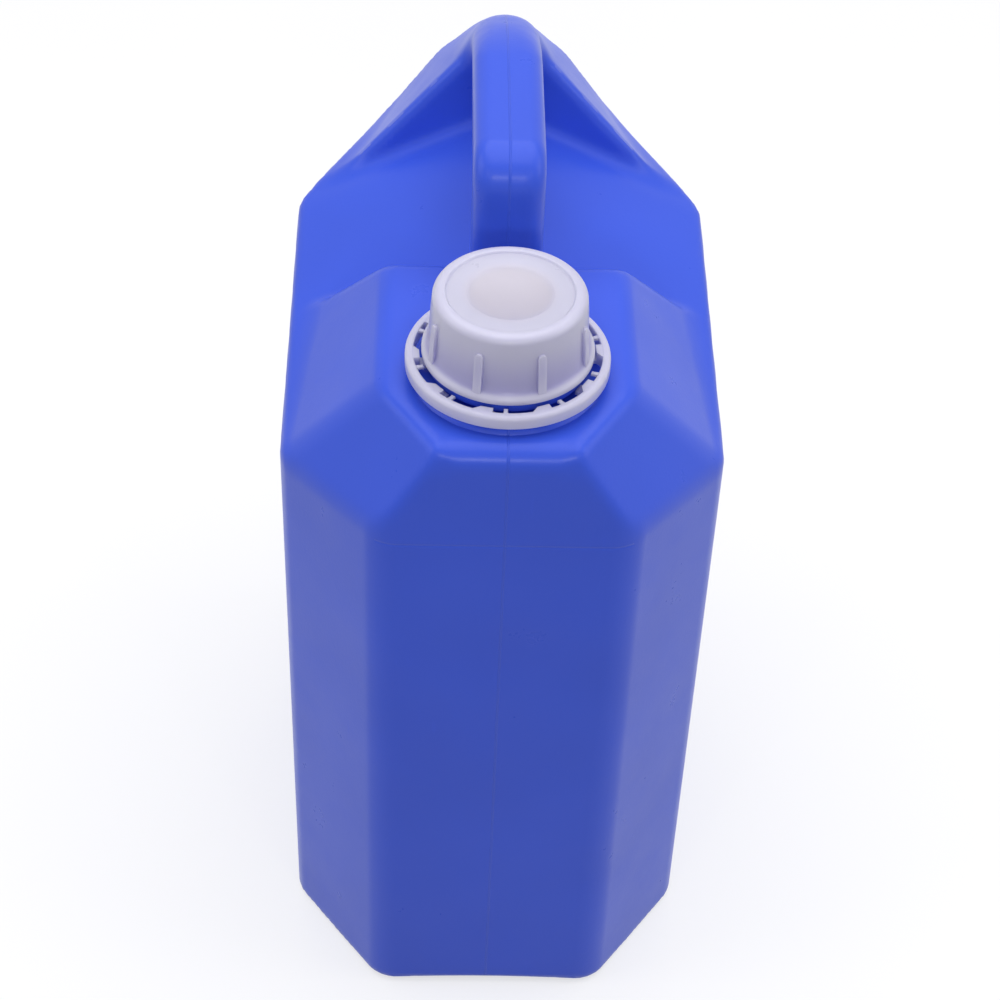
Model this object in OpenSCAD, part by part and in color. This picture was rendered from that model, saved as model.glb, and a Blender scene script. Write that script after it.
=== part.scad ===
// A five-litre blow-moulded jug with a hollow handle, a screw cap, a sealing liner and a tamper ring.
// It stands on z = 0 with the middle of its footprint at the origin, its neck towards -Y and its handle
// towards +Y. All sizes are outer sizes in millimetres unless a comment says otherwise.

/* [Body] */
// Width of the jug, side to side
body_w = 134; // [126:1:150]
// Depth of the jug, front to rear
body_d = 196; // [188:1:220]
// Height of the flat platform that the neck stands on
platform_h = 247; // [200:1:256]
// Drop from the platform to the side walls' top edges, beside the neck
side_drop = 38; // [34:0.5:48]
// How far the side walls' top edges rise towards the rear
side_rise = 11; // [0:0.5:14]
// Width of each upright corner cut, seen from the front
corner_cut_w = 30; // [20:1:34]
// Depth of each upright corner cut, seen from the side
corner_cut_d = 40; // [25:1:45]
// Rounding of the upright edges
corner_r = 12; // [6:0.5:16]
// Rounding of every other edge
edge_r = 5; // [3:0.5:6]
// Thickness of the blown wall
wall = 1.5; // [1:0.1:2.2]

/* [Base] */
// Width of the arched channel under the base
arch_w = 100; // [60:1:104]
// Height of that arch in the middle
arch_h = 2.2; // [1:0.1:4]

/* [Top] */
// Rise of the low roof from the side walls to its ridge
roof_rise = 32.5; // [24:0.5:36]
// Width of the platform
platform_w = 73; // [62:1:80]
// Distance from the front face to the platform's rear edge
platform_d = 87; // [82:1:92]
// Angle of the step down behind the platform
step_angle = 61; // [45:1:75]
// Width of the platform's front edge, between the two corner facets
facet_gap = 36.5; // [28:0.5:44]
// Drop from the platform to the corner facets' lower tips, at the front corners
facet_drop = 30; // [24:0.5:34]

/* [Handle] */
// Width of the handle
handle_w = 21.4; // [18:0.2:26]
// Thickness of the handle's bar and front leg
handle_t = 21; // [17:0.5:24]
// Rise from the platform to the handle's top
handle_rise = 46.5; // [42:0.5:54]
// Distance from the front face to the handle's front leg
handle_setback = 74; // [70:1:84]
// Outer radius of the bend above the front leg
bend_r = 12; // [8:0.5:20]
// Distance from the rear face to the end of the bar's level top
level_end = 50; // [40:1:60]
// Radius of the curve behind the level top
rear_bend_r = 30; // [15:1:40]
// Angle at which the handle falls to the rear face
rear_fall = 34; // [32:1:40]

/* [Rear shoulder] */
// Distance from the rear face to the rear wall of the hand recess
recess_wall = 35; // [28:1:42]
// Rise from the platform to the line where the rear slopes would meet, over the recess's rear wall
slope_rise = 41.8; // [36:0.2:45]
// Angle of the rear slopes, side to side
slope_angle = 49; // [44:1:54]
// How far the low roof's outer parts fall from the recess's rear wall to the rear face
roof_fall = 5.5; // [0:0.5:10]
// How far the rear slopes fall from the recess's rear wall to the rear face
slope_fall = 12.5; // [4:0.5:15]

/* [Neck] */
// Distance from the front face to the middle of the neck
neck_setback = 36.5; // [34:0.5:40]
// Height of the neck over the platform
neck_h = 26.2; // [25:0.2:30]
// Outer diameter of the neck between its threads
neck_d = 37; // [35:0.5:37.5]
// Bore of the neck
neck_bore = 31; // [26:0.5:32]
// Diameter of the round boss that the neck stands on
boss_d = 54.5; // [50:0.5:56]
// Height of that boss
boss_h = 1.4; // [0.8:0.1:2]
// Diameter of the toothed flange that keeps the tamper ring on, over its teeth
ratchet_d = 48.6; // [46:0.2:49]
// Number of ratchet teeth round the neck
ratchet_teeth = 20; // [10:1:30]

/* [Cap] */
// Diameter of the cap at its top
cap_d = 44; // [42.8:0.2:46]
// Height of the cap
cap_h = 21.4; // [19:0.2:24]
// Diameter of the flange at the cap's foot
flange_d = 49.6; // [47:0.2:50]
// Thickness of the cap's top at its rim
cap_wall = 2; // [1.6:0.1:2.6]
// Number of grip ribs on the skirt
grip_ribs = 8; // [4:1:16]
// Width of one grip rib
rib_w = 2.4; // [1.6:0.1:3]
// Thickness of the sealing liner in the cap
liner_t = 1.2; // [0.8:0.1:1.6]

/* [Tamper ring] */
// Outer diameter of the tamper ring
ring_d = 59; // [57:0.2:62]
// Inner diameter of the tamper ring
ring_bore = 54.2; // [53:0.2:55]
// Height of the tamper ring
ring_h = 4.3; // [3:0.1:5]
// Number of bridges between the cap and the ring
bridges = 10; // [6:1:14]
// Width of one bridge
bridge_w = 1.6; // [0.8:0.1:2]
// Thickness of one bridge, top to bottom
bridge_t = 1.2; // [0.8:0.1:1.6]
// Turn of the tamper ring round the neck
ring_turn = 16; // [0:1:36]

/* [Fits] */
// Gap between the cap's foot and the tamper ring's top
ring_gap = 0.3; // [0.2:0.05:0.6]
// Gap between pieces that meet but move apart
seat_gap = 0.3; // [0.2:0.05:0.5]

/* [Hidden] */
reach = 400;
round_fn = 96;

half_w = body_w / 2;
side_h = platform_h - side_drop;
facet_tip_h = platform_h - facet_drop;
handle_top = platform_h + handle_rise;
slope_apex = platform_h + slope_rise;
half_d = body_d / 2;
side_front_y = corner_cut_d - half_d;
side_rear_y = half_d - corner_cut_d;
front_corner_x = half_w - corner_cut_w;
platform_rear_y = platform_d - half_d;
recess_wall_y = half_d - recess_wall;
leg_y = handle_setback - half_d;
neck_y = neck_setback - half_d;
neck_top = platform_h + neck_h;
arch_radius = (arch_w * arch_w / 4 + arch_h * arch_h) / (2 * arch_h);
side_tilt = atan(side_rise / (side_rear_y - side_front_y));

cap_top = neck_top + liner_t + cap_wall;
cap_foot = cap_top - cap_h;
ring_top = cap_foot - ring_gap;
flange_top = cap_foot - 0.8;
thread_depth = 1.1;
cap_bore = neck_d + 2 * thread_depth + 2 * seat_gap;

function unit(v) = v / norm(v);
function left(v) = [-v.y, v.x];
function last(list) = list[len(list) - 1];

// Points on an arc, in equal steps
function arc(centre, r, from, to, steps = 6) =
    [for (i = [0:steps]) centre + r * [cos(from + (to - from) * i / steps), sin(from + (to - from) * i / steps)]];

// The way from a corner of a counter-clockwise outline to the corner of the same outline drawn in by 1
function way_in(before, corner, after) =
    let (a = left(unit(corner - before)), b = left(unit(after - corner))) (a + b) / (1 + a * b);

// A counter-clockwise outline drawn in by t, with each corner then rounded to radius r
function drawn_in(outline, t, r, steps = 4) =
    let (n = len(outline))
    [
        for (i = [0:n - 1])
            let (
                before = outline[(i + n - 1) % n],
                corner = outline[i],
                after = outline[(i + 1) % n],
                centre = corner + (t + r) * way_in(before, corner, after),
                a = -left(unit(corner - before)),
                b = -left(unit(after - corner)),
                from = atan2(a.y, a.x),
                turn = acos(min(1, a * b))
            )
            for (p = arc(centre, r, from, from + turn, steps)) p
    ];

// A solid between rings of points, all with the same number of points and wound alike
module skin(rings) {
    n = len(rings[0]);
    m = len(rings);
    points = [for (ring = rings) for (p = ring) p];
    sides = [
        for (k = [0:m - 2])
            for (i = [0:n - 1])
                [(k + 1) * n + i, (k + 1) * n + (i + 1) % n, k * n + (i + 1) % n, k * n + i]
    ];
    foot = [for (i = [0:n - 1]) i];
    head = [for (i = [0:n - 1]) m * n - 1 - i];
    polyhedron(points = points, faces = concat([foot], sides, [head]));
}

// Everything past a plane through three points of the outer surface, on the side that the cross product of
// b - a and c - a points to, with the plane drawn in by t
module beyond(a, b, c, t) {
    n = unit(cross(b - a, c - a));
    u = unit(b - a);
    v = cross(n, u);
    o = a - t * n;
    multmatrix([[u.x, v.x, n.x, o.x], [u.y, v.y, n.y, o.y], [u.z, v.z, n.z, o.z], [0, 0, 0, 1]])
        translate([-reach, -reach, 0]) cube([2 * reach, 2 * reach, reach]);
}

module beyond_both(a, b, c, t) {
    beyond(a, b, c, t);
    mirror([1, 0, 0]) beyond(a, b, c, t);
}

// Extrudes a side view, drawn in the Y-Z plane, to a width that is centred on the jug
module across(width) {
    rotate([90, 0, 90]) translate([0, 0, -width / 2]) linear_extrude(width) children();
}

// Extrudes a front view, drawn in the X-Z plane, from y = from to y = to
module along(from, to) {
    translate([0, to, 0]) rotate([90, 0, 0]) linear_extrude(to - from) children();
}

// The octagonal column that bounds the jug, with its rounded foot
module column(t) {
    outline = [
        [front_corner_x, -half_d], [half_w, side_front_y], [half_w, side_rear_y], [front_corner_x, half_d],
        [-front_corner_x, half_d], [-half_w, side_rear_y], [-half_w, side_front_y], [-front_corner_x, -half_d]
    ];
    r = edge_r - t;
    turns = [0, 22.5, 45, 67.5, 90];
    foot = [
        for (a = turns)
            let (in = t + r * (1 - sin(a)))
            [for (p = drawn_in(outline, in, corner_r - in)) [p.x, p.y, edge_r - r * cos(a)]]
    ];
    head = [for (p = drawn_in(outline, t, corner_r - t)) [p.x, p.y, reach]];
    skin(concat(foot, [head]));
}

// The right half of a roof's front view from its flat top down past the side wall, with a rounded eave
function roof_half(crown, eave, t) =
    let (
        slope = unit(eave - crown),
        out = [-slope.y, slope.x],
        tilt = atan2(out.y, out.x),
        centre = eave - edge_r * (out + [1, 0]) / (1 + out.x),
        steps = 4,
        turns = [for (i = [0:steps]) tilt * (1 - 0.85 * i / steps)],
        round = [for (a = turns) centre + (edge_r - t) * [cos(a), sin(a)]],
        end = last(turns),
        drop = 8
    )
    concat([last(round) + drop * [sin(end), -cos(end)]], [for (i = [0:steps]) round[steps - i]]);

function mirrored(half) = [for (i = [len(half) - 1:-1:0]) [-half[i].x, half[i].y]];

// Low roof over the whole jug, which is also the floor of the hand recess
module low_roof(t) {
    eave = [half_w, 0];
    ridge = [0, roof_rise];
    wall_run = recess_wall_y - side_front_y;
    wall_z = side_h + wall_run * tan(side_tilt);
    out = unit([roof_rise, half_w]);
    half = roof_half(ridge, eave, t);
    top = [0, ridge.y - t / out.y];
    foot = [half[0].x + 10, -reach];
    difference() {
        translate([0, side_front_y, side_h]) rotate([side_tilt, 0, 0]) along(-body_d, body_d)
            polygon(concat([[-foot.x, foot.y], foot], half, [top], mirrored(half)));
        beyond_both(
            [0, recess_wall_y, wall_z + roof_rise],
            [half_w, recess_wall_y, wall_z],
            [0, half_d, wall_z + roof_rise - roof_fall],
            t
        );
    }
}

// Raised block with the neck's platform, its sloping shoulders and the step behind it
module front_block(t) {
    crown = [platform_w / 2, platform_h];
    eave = [half_w, side_h];
    half = roof_half(crown, eave, t);
    slope = unit(eave - crown);
    out = [-slope.y, slope.x];
    r = edge_r - t;
    centre = crown - edge_r * (out + [0, 1]) / (1 + out.y);
    shoulder = arc(centre, r, atan2(out.y, out.x), 90, 4);
    foot = [half[0].x, side_h / 2];
    difference() {
        along(-half_d - 9, platform_rear_y + 33)
            polygon(concat([[-foot.x, foot.y], foot], half, shoulder, mirrored(shoulder), mirrored(half)));
        beyond(
            [0, platform_rear_y, platform_h],
            [1, platform_rear_y, platform_h],
            [0, platform_rear_y + 1, platform_h - tan(step_angle)],
            t
        );
    }
}

// Everything outside the two corner facets and the rounded front edge of the platform
module front_cuts(t) {
    beyond_both(
        [half_w, side_front_y, side_h],
        [facet_gap / 2, -half_d, platform_h],
        [front_corner_x, -half_d, facet_tip_h],
        t
    );
    for (a = [18, 36, 54, 72])
        translate([0, edge_r - half_d, platform_h - edge_r]) rotate([a, 0, 0])
            translate([-reach, -reach, edge_r - t]) cube([2 * reach, 2 * reach, reach]);
}

// The falling line behind the handle's level top
function fall_line() =
    arc([half_d - level_end, handle_top - rear_bend_r], rear_bend_r, 90, 90 - rear_fall, 5);

// Sloping shoulders behind the hand recess
module rear_shoulder(t) {
    fall = last(fall_line());
    run = half_w * tan(slope_angle);
    shelf = handle_top - handle_t;
    top = min(shelf, fall.y) - t;
    out = t / cos(rear_fall);
    difference() {
        across(body_w + 20) polygon([
            [recess_wall_y + t, side_h / 2],
            [half_d + 9, side_h / 2],
            [half_d + 9, fall.y - out - (half_d + 9 - fall.x) * tan(rear_fall)],
            [fall.x + (fall.y - out - top) / tan(rear_fall), top],
            [recess_wall_y + t, top]
        ]);
        beyond_both(
            [0, recess_wall_y, slope_apex],
            [half_w, recess_wall_y, slope_apex - run],
            [0, half_d, slope_apex - slope_fall],
            t
        );
    }
}

// The handle's cross-section between a point of its underside and the point of its top over it
function handle_ring(under, over, t) =
    let (
        w = handle_w / 2,
        h = norm(over - under),
        up = unit(over - under),
        box = [[w, 0], [w, h], [-w, h], [-w, 0]]
    )
    [for (p = drawn_in(box, t, edge_r - t, 3)) [-p.x, under.x + up.x * p.y, under.y + up.y * p.y]];

module handle(t) {
    hole_front = leg_y + handle_t;
    shelf = handle_top - handle_t;
    inner_r = bend_r / 2;
    bend_over = arc([leg_y + bend_r, handle_top - bend_r], bend_r, 180, 90, 5);
    bend_under = arc([hole_front + inner_r, shelf - inner_r], inner_r, 180, 90, 5);
    fall = fall_line();
    fall_steps = len(fall) - 1;
    fall_way = [cos(rear_fall), -sin(rear_fall)];
    fall_under = [for (i = [0:fall_steps]) fall[i] - handle_t * [sin(rear_fall * i / fall_steps), cos(rear_fall * i / fall_steps)]];
    over = concat([[leg_y, side_h]], bend_over, fall, [last(fall) + 50 * fall_way]);
    under = concat([[hole_front, side_h]], bend_under, fall_under, [last(fall_under) + 50 * fall_way]);
    skin([for (i = [0:len(over) - 1]) handle_ring(under[i], over[i], t)]);
}

// The jug's form without its neck, drawn in by t all round
module form(t) {
    difference() {
        intersection() {
            column(t);
            union() {
                difference() {
                    union() {
                        low_roof(t);
                        front_block(t);
                    }
                    front_cuts(t);
                }
                rear_shoulder(t);
                handle(t);
            }
        }
        translate([0, 0, arch_h - arch_radius]) rotate([90, 0, 0])
            cylinder(h = 2 * body_d, r = arch_radius + t, center = true, $fn = 360);
    }
}

// Outline of the toothed flange, seen from above
function ratchet_outline() =
    [
        for (i = [0:ratchet_teeth - 1])
            let (a = 360 / ratchet_teeth, tip = ratchet_d / 2)
            for (p = [[tip, 0], [tip - 1, 0.1], [tip - 0.5, 0.55]])
                p.x * [cos(a * (i + p.y)), sin(a * (i + p.y))]
    ];

module neck_outside() {
    rotate_extrude($fn = round_fn) polygon([
        [0, -2 * wall],
        [boss_d / 2 - 2, -2 * wall],
        [boss_d / 2 + boss_h, 0],
        [boss_d / 2, boss_h],
        [neck_d / 2, boss_h],
        [neck_d / 2, neck_h - 0.8],
        [neck_d / 2 - 0.8, neck_h],
        [0, neck_h]
    ]);
    translate([0, 0, flange_top - 2.2 - platform_h]) linear_extrude(2.2) polygon(ratchet_outline());
}

module jug_body() {
    color("royalblue") difference() {
        union() {
            form(0);
            translate([0, neck_y, platform_h]) neck_outside();
        }
        form(wall);
        translate([0, neck_y, platform_h - 4 * wall]) cylinder(h = reach, d = neck_bore, $fn = round_fn);
    }
}

// Half section of the cap's outside: flared foot, slightly tapered skirt, rounded top rim and sunken top
function cap_section() =
    let (rim = 2.2, r = cap_d / 2, foot = flange_d / 2, dip = 0.9)
    concat(
        [[0, 0], [foot, 0], [foot, 1.5], [foot - 0.3, 2.1], [r + 1.2, 3.2], [r + 0.8, 4.6], [r + 0.3, cap_h * 0.72]],
        arc([r - rim, cap_h - rim], rim, 0, 90, 5),
        [[r - 3.4, cap_h], [r - 4.2, cap_h - dip / 2], [r * 0.58, cap_h - dip / 2], [r * 0.54, cap_h - dip], [0, cap_h - dip]]
    );

module cap_ribs() {
    root = cap_bore / 2 + 1;
    for (i = [0:grip_ribs - 1])
        rotate(360 / grip_ribs * (i + 0.5)) translate([root, -rib_w / 2, 0.7])
            cube([cap_d / 2 + 1.7 - root, rib_w, cap_h * 0.7]);
}

module cap() {
    color("lavender") translate([0, neck_y, cap_foot]) difference() {
        union() {
            rotate_extrude($fn = round_fn) polygon(cap_section());
            cap_ribs();
        }
        translate([0, 0, -1]) cylinder(h = cap_h - cap_wall + 1, d = cap_bore, $fn = round_fn);
    }
}

module cap_liner() {
    color("ivory") translate([0, neck_y, neck_top]) cylinder(h = liner_t, d = cap_bore - 2 * seat_gap, $fn = round_fn);
}

// A block between two radii and, at each radius, two angles
module block_between(inner, outer, inner_angles, outer_angles) {
    polygon([
        for (p = [[inner, inner_angles[0]], [outer, outer_angles[0]], [outer, outer_angles[1]], [inner, inner_angles[1]]])
            p[0] * [cos(p[1]), sin(p[1])]
    ]);
}

// Teeth on the ring's inner edge. Their lower parts hook under the neck's toothed flange.
module ring_teeth() {
    cell = 360 / bridges;
    root = ring_bore / 2 + 0.8;
    hook_top = flange_top - 2.2 - seat_gap;
    for (i = [0:bridges - 1])
        rotate(ring_turn + cell * i) translate([0, 0, ring_top - ring_h]) {
            linear_extrude(ring_h) block_between(flange_d / 2 + 2 * seat_gap, root, cell * [0.56, 0.78], cell * [0.44, 0.78]);
            linear_extrude(hook_top - ring_top + ring_h) block_between(ratchet_d / 2 - 1, root, cell * [0.56, 0.78], cell * [0.56, 0.78]);
        }
}

module ring_bridges() {
    root = flange_d / 2 + seat_gap;
    for (i = [0:bridges - 1])
        rotate(ring_turn + 360 / bridges * i) translate([root, -bridge_w / 2, ring_top - bridge_t])
            cube([ring_bore / 2 + 0.8 - root, bridge_w, bridge_t]);
}

module tamper_ring() {
    color("lavender") translate([0, neck_y, 0]) {
        translate([0, 0, ring_top]) rotate_extrude($fn = round_fn) polygon([
            [ring_bore / 2, -ring_h],
            [ring_d / 2, -ring_h],
            [ring_d / 2, -0.8],
            [ring_d / 2 - 0.8, 0],
            [ring_bore / 2, 0]
        ]);
        ring_teeth();
        ring_bridges();
    }
}

jug_body();
cap();
cap_liner();
tamper_ring();
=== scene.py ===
"""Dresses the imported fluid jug: its blow-moulded body, screw cap, foam liner and tamper ring, on a pale floor."""

import math

import bmesh
import bpy
import numpy as np
from bpy.props import FloatProperty, FloatVectorProperty, IntProperty, PointerProperty
from mathutils import Matrix, Vector


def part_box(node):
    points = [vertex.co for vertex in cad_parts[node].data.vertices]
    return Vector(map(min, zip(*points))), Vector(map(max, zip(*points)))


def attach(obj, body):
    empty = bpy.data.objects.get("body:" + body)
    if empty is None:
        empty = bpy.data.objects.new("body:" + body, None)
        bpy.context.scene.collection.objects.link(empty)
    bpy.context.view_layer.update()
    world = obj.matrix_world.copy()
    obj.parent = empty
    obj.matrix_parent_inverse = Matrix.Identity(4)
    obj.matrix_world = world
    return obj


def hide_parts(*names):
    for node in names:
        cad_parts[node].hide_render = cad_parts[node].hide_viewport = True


bl_info = {
    "name": "Screw-cap fluid jug",
    "version": (1, 0, 0),
    "blender": (4, 5, 0),
    "location": "3D View > Sidebar > Jug",
    "description": "Builds a blow-moulded fluid jug with its cap, liner and tamper ring around the packed frame",
    "category": "Object",
}

MM = 0.001
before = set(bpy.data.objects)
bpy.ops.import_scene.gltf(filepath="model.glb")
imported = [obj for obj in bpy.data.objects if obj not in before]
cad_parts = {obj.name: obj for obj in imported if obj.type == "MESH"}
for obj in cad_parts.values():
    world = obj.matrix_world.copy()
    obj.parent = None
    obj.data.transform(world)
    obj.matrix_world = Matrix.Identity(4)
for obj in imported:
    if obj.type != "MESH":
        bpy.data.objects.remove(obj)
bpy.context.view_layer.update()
JUG_LOW, JUG_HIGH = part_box("jug_body")
CAP_LOW, CAP_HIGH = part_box("cap")
LINER_LOW, LINER_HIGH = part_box("cap_liner")
RING_LOW, RING_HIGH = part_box("tamper_ring")
NECK_Y = (CAP_LOW.y + CAP_HIGH.y) / 2


# Sizes and colours


class JugSizes(bpy.types.PropertyGroup):
    """Sizes and colour of the blow-moulded body."""

    corner_cut_width: FloatProperty(
        name="Corner cut width", description="Width of each upright corner cut, seen from the front",
        default=0.030, unit="LENGTH",
    )
    corner_cut_depth: FloatProperty(
        name="Corner cut depth", description="Depth of each upright corner cut, seen from the side",
        default=0.040, unit="LENGTH",
    )
    wall: FloatProperty(name="Wall", description="Thickness of the blown wall", default=0.0015, unit="LENGTH")
    mesh_step: FloatProperty(
        name="Mesh step", description="Distance between the points of the body's mesh", default=0.0018, unit="LENGTH"
    )
    neck_bore: FloatProperty(name="Neck bore", description="Bore of the neck", default=0.031, unit="LENGTH")
    thread_pitch: FloatProperty(
        name="Thread pitch", description="Rise of the screw thread in one turn", default=0.005, unit="LENGTH"
    )
    thread_turns: FloatProperty(name="Thread turns", description="Turns of thread on the neck", default=1.6)
    colour: FloatVectorProperty(
        name="Colour", description="Colour of the blue polyethylene", default=(0.043, 0.102, 0.71),
        subtype="COLOR", min=0, max=1,
    )


class ClosureSizes(bpy.types.PropertyGroup):
    """Sizes and colours of the cap, its liner and the tamper ring."""

    grip_ribs: IntProperty(name="Grip ribs", description="Number of grip ribs round the cap's skirt", default=8)
    rib_width: FloatProperty(name="Rib width", description="Width of one grip rib", default=0.0024, unit="LENGTH")
    bridges: IntProperty(name="Bridges", description="Number of bridges and of pawls on the tamper ring", default=10)
    bridge_width: FloatProperty(
        name="Bridge width", description="Width of one bridge", default=0.0013, unit="LENGTH"
    )
    # Natural polyethylene is near white; the bluish cast of this colour is painted blue light thrown from the jug
    colour: FloatVectorProperty(
        name="Colour", description="Colour of the natural polyethylene", default=(0.55, 0.54, 0.71),
        subtype="COLOR", min=0, max=1,
    )
    centre_colour: FloatVectorProperty(
        name="Centre colour", description="Colour of the cap's thin centre, with the foam liner behind it",
        default=(0.57, 0.53, 0.66), subtype="COLOR", min=0, max=1,
    )
    # Darker, bluer colour low on the skirt: painted shade between the grip ribs, with the blue neck showing through the
    # thin wall
    shaded_foot_colour: FloatVectorProperty(
        name="Shaded foot colour", description="Colour low on the skirt, where the blue neck shows through",
        default=(0.38, 0.365, 0.62), subtype="COLOR", min=0, max=1,
    )
    liner_colour: FloatVectorProperty(
        name="Liner colour", description="Colour of the foam liner", default=(0.80, 0.74, 0.66),
        subtype="COLOR", min=0, max=1,
    )


class StageSettings(bpy.types.PropertyGroup):
    """Floor and lamps."""

    floor_colour: FloatVectorProperty(
        name="Floor colour", description="Colour of the floor where it takes the object's shadow",
        default=(0.38, 0.38, 0.39), subtype="COLOR", min=0, max=1,
    )
    key_power: FloatProperty(name="Key power", description="Power of the overhead lamp", default=14.5, unit="POWER")
    side_power: FloatProperty(name="Side power", description="Power of each side lamp", default=3.0, unit="POWER")
    front_power: FloatProperty(
        name="Front power", description="Power of each small lamp about the camera", default=1.6, unit="POWER"
    )
    ambient: FloatProperty(name="Ambient", description="Strength of the light from all round", default=0.45)
    floor_glow: FloatProperty(name="Floor glow", description="Glow of the floor where it is background", default=0.63)


# Meshes


def object_from(name, vertices, faces, material, smooth_angle=32):
    """A closed mesh as an object at the origin, smooth but for its sharp edges."""
    mesh = bpy.data.meshes.new(name)
    mesh.from_pydata([tuple(v) for v in vertices], [], [tuple(f) for f in faces])
    mesh.validate()
    mesh.materials.append(material)
    obj = bpy.data.objects.new(name, mesh)
    bpy.context.scene.collection.objects.link(obj)
    shade(obj, smooth_angle)
    return obj


def shade(obj, smooth_angle=32):
    obj.data.shade_smooth()
    obj.data.set_sharp_from_angle(angle=math.radians(smooth_angle))


def lathe(name, section, material, centre=(0, NECK_Y, 0), sides=144, smooth_angle=32):
    """Turns a closed section, counter-clockwise in radius and height, round the neck's axis."""
    n = len(section)
    angles = np.arange(sides) * 2 * math.pi / sides
    points = [
        (centre[0] + r * math.cos(a), centre[1] + r * math.sin(a), centre[2] + z) for a in angles for r, z in section
    ]
    faces = []
    for k in range(sides):
        here, there = k * n, (k + 1) % sides * n
        for i in range(n):
            j = (i + 1) % n
            faces.append((here + i, there + i, there + j, here + j))
    obj = object_from(name, points, faces, material, smooth_angle)
    clean(obj, smooth_angle)
    return obj


def clean(obj, smooth_angle=32):
    """Merges doubles, closes poles and turns faces outwards."""
    mesh = bmesh.new()
    mesh.from_mesh(obj.data)
    bmesh.ops.remove_doubles(mesh, verts=mesh.verts, dist=1e-6)
    bmesh.ops.dissolve_degenerate(mesh, dist=1e-7, edges=mesh.edges)
    bmesh.ops.recalc_face_normals(mesh, faces=mesh.faces)
    mesh.to_mesh(obj.data)
    mesh.free()
    shade(obj, smooth_angle)


def combined(base, tools, operation):
    """Joins closed meshes to base, or cuts them from it, and removes them."""
    for tool in tools:
        change = base.modifiers.new(operation, "BOOLEAN")
        change.operation = operation
        change.solver = "MANIFOLD"
        change.object = tool
        depsgraph = bpy.context.evaluated_depsgraph_get()
        result = bpy.data.meshes.new_from_object(base.evaluated_get(depsgraph))
        base.modifiers.remove(change)
        old = base.data
        base.data = result
        bpy.data.meshes.remove(old)
        bpy.data.objects.remove(tool)
    return base


def turned_arc(centre, radius, start, end, steps=6):
    angles = [math.radians(start + (end - start) * i / steps) for i in range(steps + 1)]
    return [(centre[0] + radius * math.cos(a), centre[1] + radius * math.sin(a)) for a in angles]


# The jug's form, as a signed distance in millimetres


def both(a, b, radius):
    """Where two forms overlap, with a rounded edge."""
    outside = np.hypot(np.maximum(a + radius, 0), np.maximum(b + radius, 0))
    return np.minimum(-radius, np.maximum(a, b)) + outside


def either(a, b, radius):
    """Two forms together, with a fillet where they meet."""
    inside = np.hypot(np.maximum(radius - a, 0), np.maximum(radius - b, 0))
    return np.maximum(radius, np.minimum(a, b)) - inside


def plane(points, *coordinates):
    """Signed distance past the plane through three points, on the side that their order faces."""
    a, b, c = (np.array(p, float) for p in points)
    normal = np.cross(b - a, c - a)
    normal /= np.linalg.norm(normal)
    return sum(n * (v - p) for n, v, p in zip(normal, coordinates, a))


def jug_form(x, y, z):
    sizes = bpy.context.scene.jug_sizes
    half_w, half_d, top = JUG_HIGH.x / MM, JUG_HIGH.y / MM, JUG_HIGH.z / MM
    cut_w, cut_d = sizes.corner_cut_width / MM, sizes.corner_cut_depth / MM
    side_y, corner_x = cut_d - half_d, half_w - cut_w
    side_z, platform_z, tip_z, rise = 209, 247, 217, 11 / (-2 * side_y)
    across = np.abs(x)

    # Upright walls, and the arched underside
    length = math.hypot(cut_w, cut_d)
    cut_front = (cut_d * across - cut_w * y - (cut_d * half_w - cut_w * side_y)) / length
    cut_rear = (cut_d * across + cut_w * y - (cut_d * half_w - cut_w * side_y)) / length
    lean = math.radians(1.6)
    front = np.maximum(-half_d - y, (-half_d - y) * math.cos(lean) + (z - side_z - 2) * math.sin(lean))
    walls = both(across - half_w, cut_front, 2.4)
    walls = both(walls, front, 4.8)
    walls = both(walls, cut_rear, 2.4)
    walls = both(walls, y - half_d, 4.8)
    walls = both(walls, np.maximum(2.2 - across**2 / 1136, 0) - z, 2.6)

    # Low roof, platform block with its step, and corner facets
    roof = z - side_z - rise * (y - side_y) - 32.5 * (1 - np.sqrt(across**2 + 9) / half_w)
    roof = roof / math.sqrt(1 + rise**2 + (32.5 / half_w) ** 2)
    shoulder = plane([(half_w, 0, side_z), (half_w, 1, side_z), (36.5, 0, platform_z)], across, y, z)
    step = (y + 11) * math.sin(math.radians(61)) + (z - platform_z) * math.cos(math.radians(61))
    block = both(both(z - platform_z, shoulder, 2.5), step, 2.5)
    crown = either(roof, block, 2.5)
    facet = plane(
        [(half_w, side_y, side_z), (18.25, -half_d, platform_z), (corner_x, -half_d, tip_z)], across, y, z
    )
    crown = both(crown, facet, 2.2)

    # Shoulder behind the hand recess
    recess_y, shelf_z, fall_angle = half_d - 35, top - 21, math.radians(34)
    back = (y - recess_y) / 35
    slope = (z - 288.8 + 1.145 * across + back * (5.0 + 0.242 * across)) / 1.66
    fall = (y - 64.8) * math.sin(fall_angle) + (z - 288.4) * math.cos(fall_angle)
    hump = both(slope, fall + 2.0, 10)
    hump = both(hump, recess_y - y, 3.5)
    roof_back = (z - 253.4 + 0.485 * across + 5.4 * back) / 1.13
    crown = both(crown, roof_back, 3)
    crown = either(crown, hump, 5)

    # Handle
    outline = both(-24 - y, z - top, 12)
    outline = both(outline, fall, 14)
    hole = both(both(-3.5 - y, z - shelf_z, 6), y - recess_y - 3, 14)
    handle = both(np.maximum(outline, -hole), across - 10.7, 5.2 + 3.8 * np.clip((y - 35) / 20, 0, 1))
    crown = either(crown, handle, 4 + 2.5 * np.clip((y - recess_y + 4) / 10, 0, 1))
    eave = 1.8 + 5.0 * np.clip((22 - across) / 5, 0, 1) * np.clip((-60 - y) / 20, 0, 1)
    return both(walls, crown, eave)


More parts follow.
